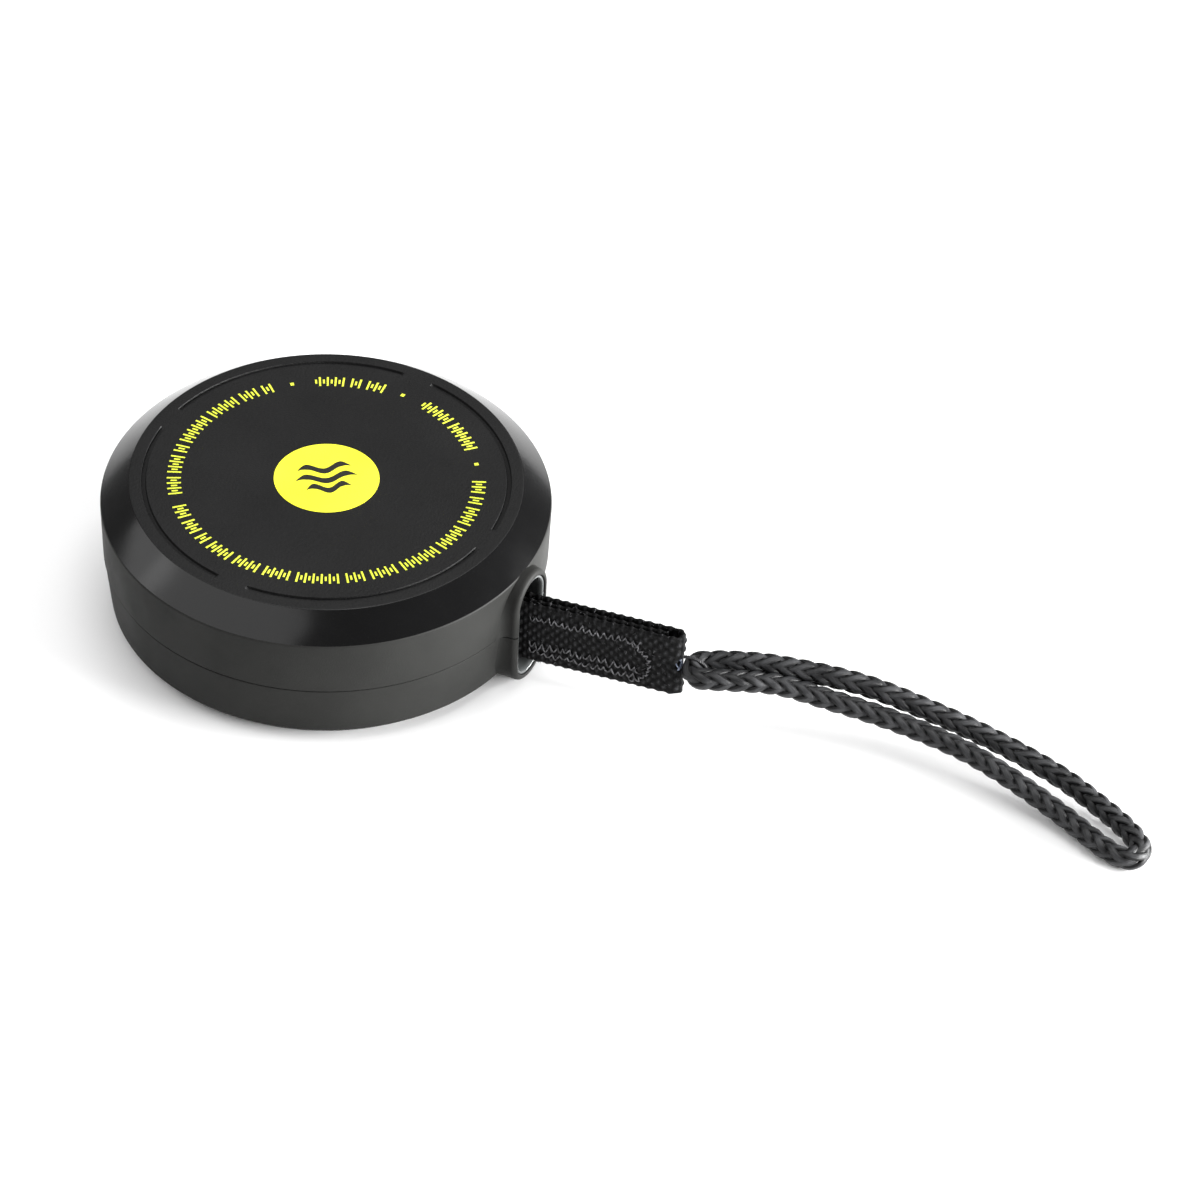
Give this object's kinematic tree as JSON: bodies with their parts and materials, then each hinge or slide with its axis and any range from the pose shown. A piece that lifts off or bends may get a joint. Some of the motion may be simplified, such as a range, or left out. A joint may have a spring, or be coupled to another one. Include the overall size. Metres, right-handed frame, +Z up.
{
  "type": "retractable leash reel",
  "caption": "Round plastic reel case with a rim slot, a stitched webbing strap that pulls out against a spring, and a braided pull loop.",
  "frame": {"origin": "on the axle's line, at the underside of the base", "axes": "+Z up along the axle, +X from the axle out through the slot in the rim"},
  "size_m": [0.2213, 0.09, 0.031],
  "materials": {
    "shell": "fine texture on the face and walls, polished on the sloped rim",
    "liner": "smooth",
    "webbing": "tight woven black webbing",
    "waxed_cord": "waxed hollow braid",
    "thread": "pale lashing thread",
    "acetal": "smooth white",
    "nylon": "moulded grey",
    "stainless": "bright",
    "spring_steel": "blued"
  },
  "bodies": {
    "case": {"upper_case": "shell", "lower_case": "shell", "port_liner": "liner", "case_screw_1": "stainless", "case_screw_2": "stainless", "case_screw_3": "stainless", "case_screw_4": "stainless", "axle": "stainless", "lower_washer": "stainless", "upper_washer": "stainless", "retaining_clip": "spring_steel", "power_spring": "spring_steel", "webbing_run": "webbing"},
    "reel": {"spool": "nylon", "spring_cover": "nylon", "lower_bush": "acetal", "upper_bush": "acetal", "strap_anchor_pin": "stainless", "wound_webbing": "webbing"},
    "strap": {"webbing_end": "webbing", "eye_thread": "thread"},
    "loop": {"pull_loop": "waxed_cord"}
  },
  "joints": [
    {"name": "spool_spin", "type": "hinge", "parent": "case", "child": "reel", "pos_m": [0, 0, 0.0128], "axis": [0, 0, 1], "range_deg": [0, 3420], "stiffness_Nm_per_rad": 0.0015, "springref_deg": -687.55, "deforming": ["power_spring"]},
    {"name": "leash_pull", "type": "slide", "parent": "case", "child": "strap", "axis": [0.9829, 0.184, 0], "range_m": [0, 1.4], "deforming": ["webbing_run"]},
    {"name": "loop_swing", "type": "hinge", "parent": "strap", "child": "loop", "pos_m": [0.08272, 0.00687, 0.0123], "axis": [0, 0, 1], "range_deg": [-75, 75]}
  ],
  "couplings": [
    {"joint": "leash_pull", "follows": "spool_spin", "m_per_rad": 0.0233}
  ]
}
